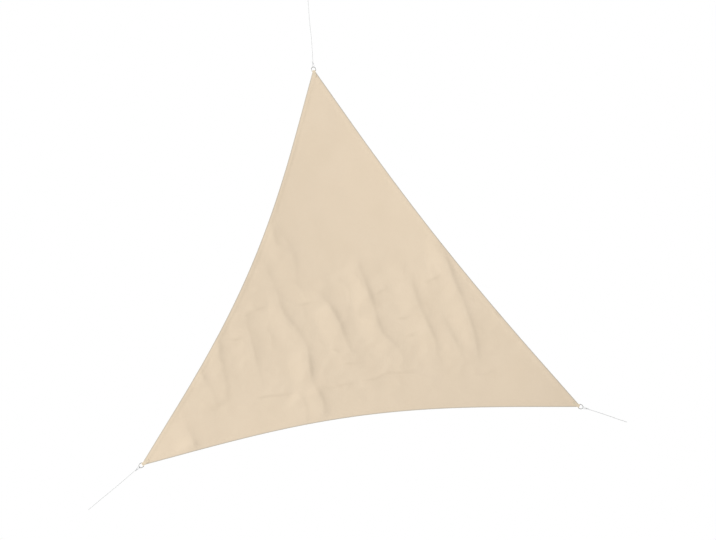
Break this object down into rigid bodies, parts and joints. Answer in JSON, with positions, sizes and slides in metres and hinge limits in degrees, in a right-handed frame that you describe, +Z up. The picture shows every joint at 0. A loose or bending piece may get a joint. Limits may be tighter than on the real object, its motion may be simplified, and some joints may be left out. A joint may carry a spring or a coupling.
{
  "type": "shade sail",
  "caption": "Three-cornered woven shade sail with inward-curved hemmed edges, a webbing strap and D-ring at each corner, and a rope tied to each ring; hung by its top rope.",
  "frame": {"origin": "top of the knotted rope loop by which the sail's top corner hangs", "axes": "+Z up; +X runs along the sail's low side, from its left corner to its right one; +Y runs into the slope, from the low side to the top corner"},
  "size_m": [4.3523, 3.8196, 2.184],
  "materials": {
    "cloth": "plain-woven sand-coloured polyester",
    "webbing": "flat sand-coloured polyester webbing",
    "ring": "polished stainless steel wire",
    "rope": "braided pale grey polyester cord"
  },
  "bodies": {
    "root": {"sail_cloth": "cloth", "strap_top": "webbing", "strap_left": "webbing", "strap_right": "webbing", "ring_top": "ring", "ring_left": "ring", "ring_right": "ring", "tie_top": "rope", "tie_left": "rope", "tie_right": "rope", "rope_top": "rope", "rope_left": "rope", "rope_right": "rope", "loop_top": "rope"}
  },
  "joints": []
}
